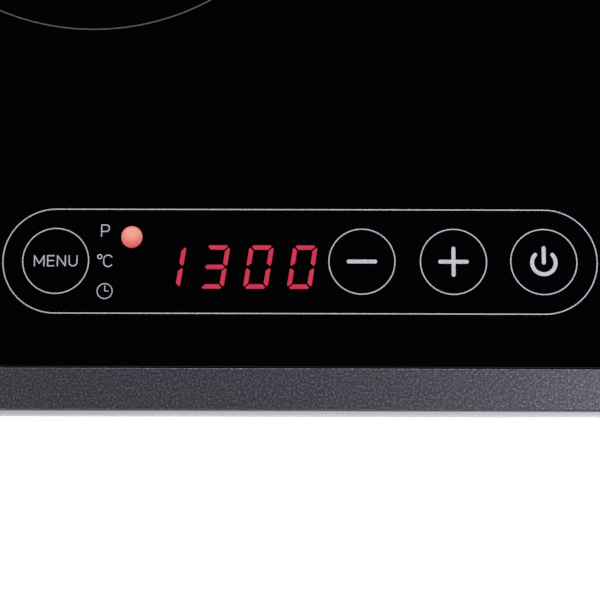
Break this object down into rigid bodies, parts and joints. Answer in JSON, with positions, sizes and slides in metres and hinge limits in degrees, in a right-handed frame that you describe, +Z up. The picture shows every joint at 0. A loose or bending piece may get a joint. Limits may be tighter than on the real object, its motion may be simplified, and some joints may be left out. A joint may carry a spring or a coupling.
{
  "type": "induction cooktop",
  "caption": "Portable induction cooktop: black glass plate in a textured dark frame on a tapered light housing, with touch keys, a red display, a coil, control and power boards and a cooling fan.",
  "frame": {"origin": "on the floor, under the middle of the cooking zone, which is the middle of the body", "axes": "+X to the right as the user faces the keys, +Y away from the user, +Z up"},
  "size_m": [0.3, 0.291, 0.06],
  "materials": {
    "black_glass_ceramic": "polished black glass-ceramic plate",
    "grey_silicone": "cured silicone bead",
    "dark_textured_frame": "dark grey fine-textured metallic coating",
    "light_grey_abs": "silver-grey moulded ABS, fine spark texture",
    "black_nylon": "moulded black nylon",
    "zinc_steel": "zinc-plated steel",
    "heat_proof_moulding": "glass-filled phenolic moulding",
    "copper_litz": "varnished copper litz wire",
    "mica": "pressed mica sheet",
    "ferrite": "sintered ferrite, dull dark grey",
    "white_silicone": "white silicone",
    "ceramic_bead": "white ceramic",
    "green_laminate": "glass-epoxy circuit board with green mask",
    "display_block": "black display and light-shade moulding",
    "black_epoxy": "moulded black epoxy",
    "grey_pvc": "grey flat cable sheath",
    "plain_aluminium": "extruded aluminium, mill finish",
    "capacitor_case": "moulded film capacitor case",
    "blue_epoxy": "dipped blue epoxy",
    "bronze": "sintered bronze",
    "black_rubber": "moulded black rubber",
    "led_epoxy": "red tinted epoxy lens",
    "panel_ink": "light grey ceramic ink printed on the glass",
    "zone_ink": "dark grey ceramic ink printed on the glass",
    "display_light": "red display light shining through the glass",
    "led_light": "indicator light shining through the glass"
  },
  "bodies": {
    "body": {"glass_top": "black_glass_ceramic", "glass_seal": "grey_silicone", "top_frame": "dark_textured_frame", "lower_housing": "light_grey_abs", "cord_gland": "black_nylon", "gland_nut": "black_nylon", "frame_screws": "zinc_steel", "coil_carrier": "heat_proof_moulding", "coil_winding": "copper_litz", "mica_sheet": "mica", "ferrite_bars": "ferrite", "coil_lead_inner": "copper_litz", "coil_lead_outer": "copper_litz", "coil_screws": "zinc_steel", "control_board": "green_laminate", "display_module": "display_block", "led_shade": "display_block", "controller_chip": "black_epoxy", "board_bracket": "heat_proof_moulding", "control_screws": "zinc_steel", "ribbon_cable": "grey_pvc", "power_board": "green_laminate", "power_screws": "zinc_steel", "heatsink": "plain_aluminium", "power_transistor": "black_epoxy", "bridge_rectifier": "black_epoxy", "resonance_capacitor": "capacitor_case", "smoothing_capacitor": "capacitor_case", "filter_capacitor": "capacitor_case", "filter_choke": "ferrite", "standby_transformer": "ferrite", "fuse": "ceramic_bead", "varistor": "blue_epoxy", "terminal_block": "black_nylon", "buzzer": "black_epoxy", "fan_frame": "black_nylon", "fan_bearing": "bronze", "fan_stator": "ferrite", "fan_screws": "zinc_steel", "foot_front_left": "black_rubber", "foot_front_right": "black_rubber", "foot_rear_left": "black_rubber", "foot_rear_right": "black_rubber", "led_power_level": "led_epoxy", "led_temperature": "led_epoxy", "led_timer": "led_epoxy", "key_spring_menu": "zinc_steel", "key_spring_minus": "zinc_steel", "key_spring_plus": "zinc_steel", "key_spring_power": "zinc_steel"},
    "fan": {"fan_rotor": "black_nylon", "fan_magnet": "ferrite", "fan_shaft": "zinc_steel"},
    "sensor": {"sensor_plunger": "white_silicone", "sensor_bead": "ceramic_bead", "sensor_spring": "zinc_steel"}
  },
  "joints": [
    {"name": "fan_spin", "type": "hinge", "parent": "body", "child": "fan", "pos_m": [-0.076, 0.066, 0.0235], "axis": [0, 0, 1], "continuous": true},
    {"name": "sensor_press", "type": "slide", "parent": "body", "child": "sensor", "axis": [0, 0, 1], "range_m": [-0.002, 0], "stiffness_N_per_m": 300, "springref_m": 0.002, "deforming": ["sensor_spring"]}
  ]
}
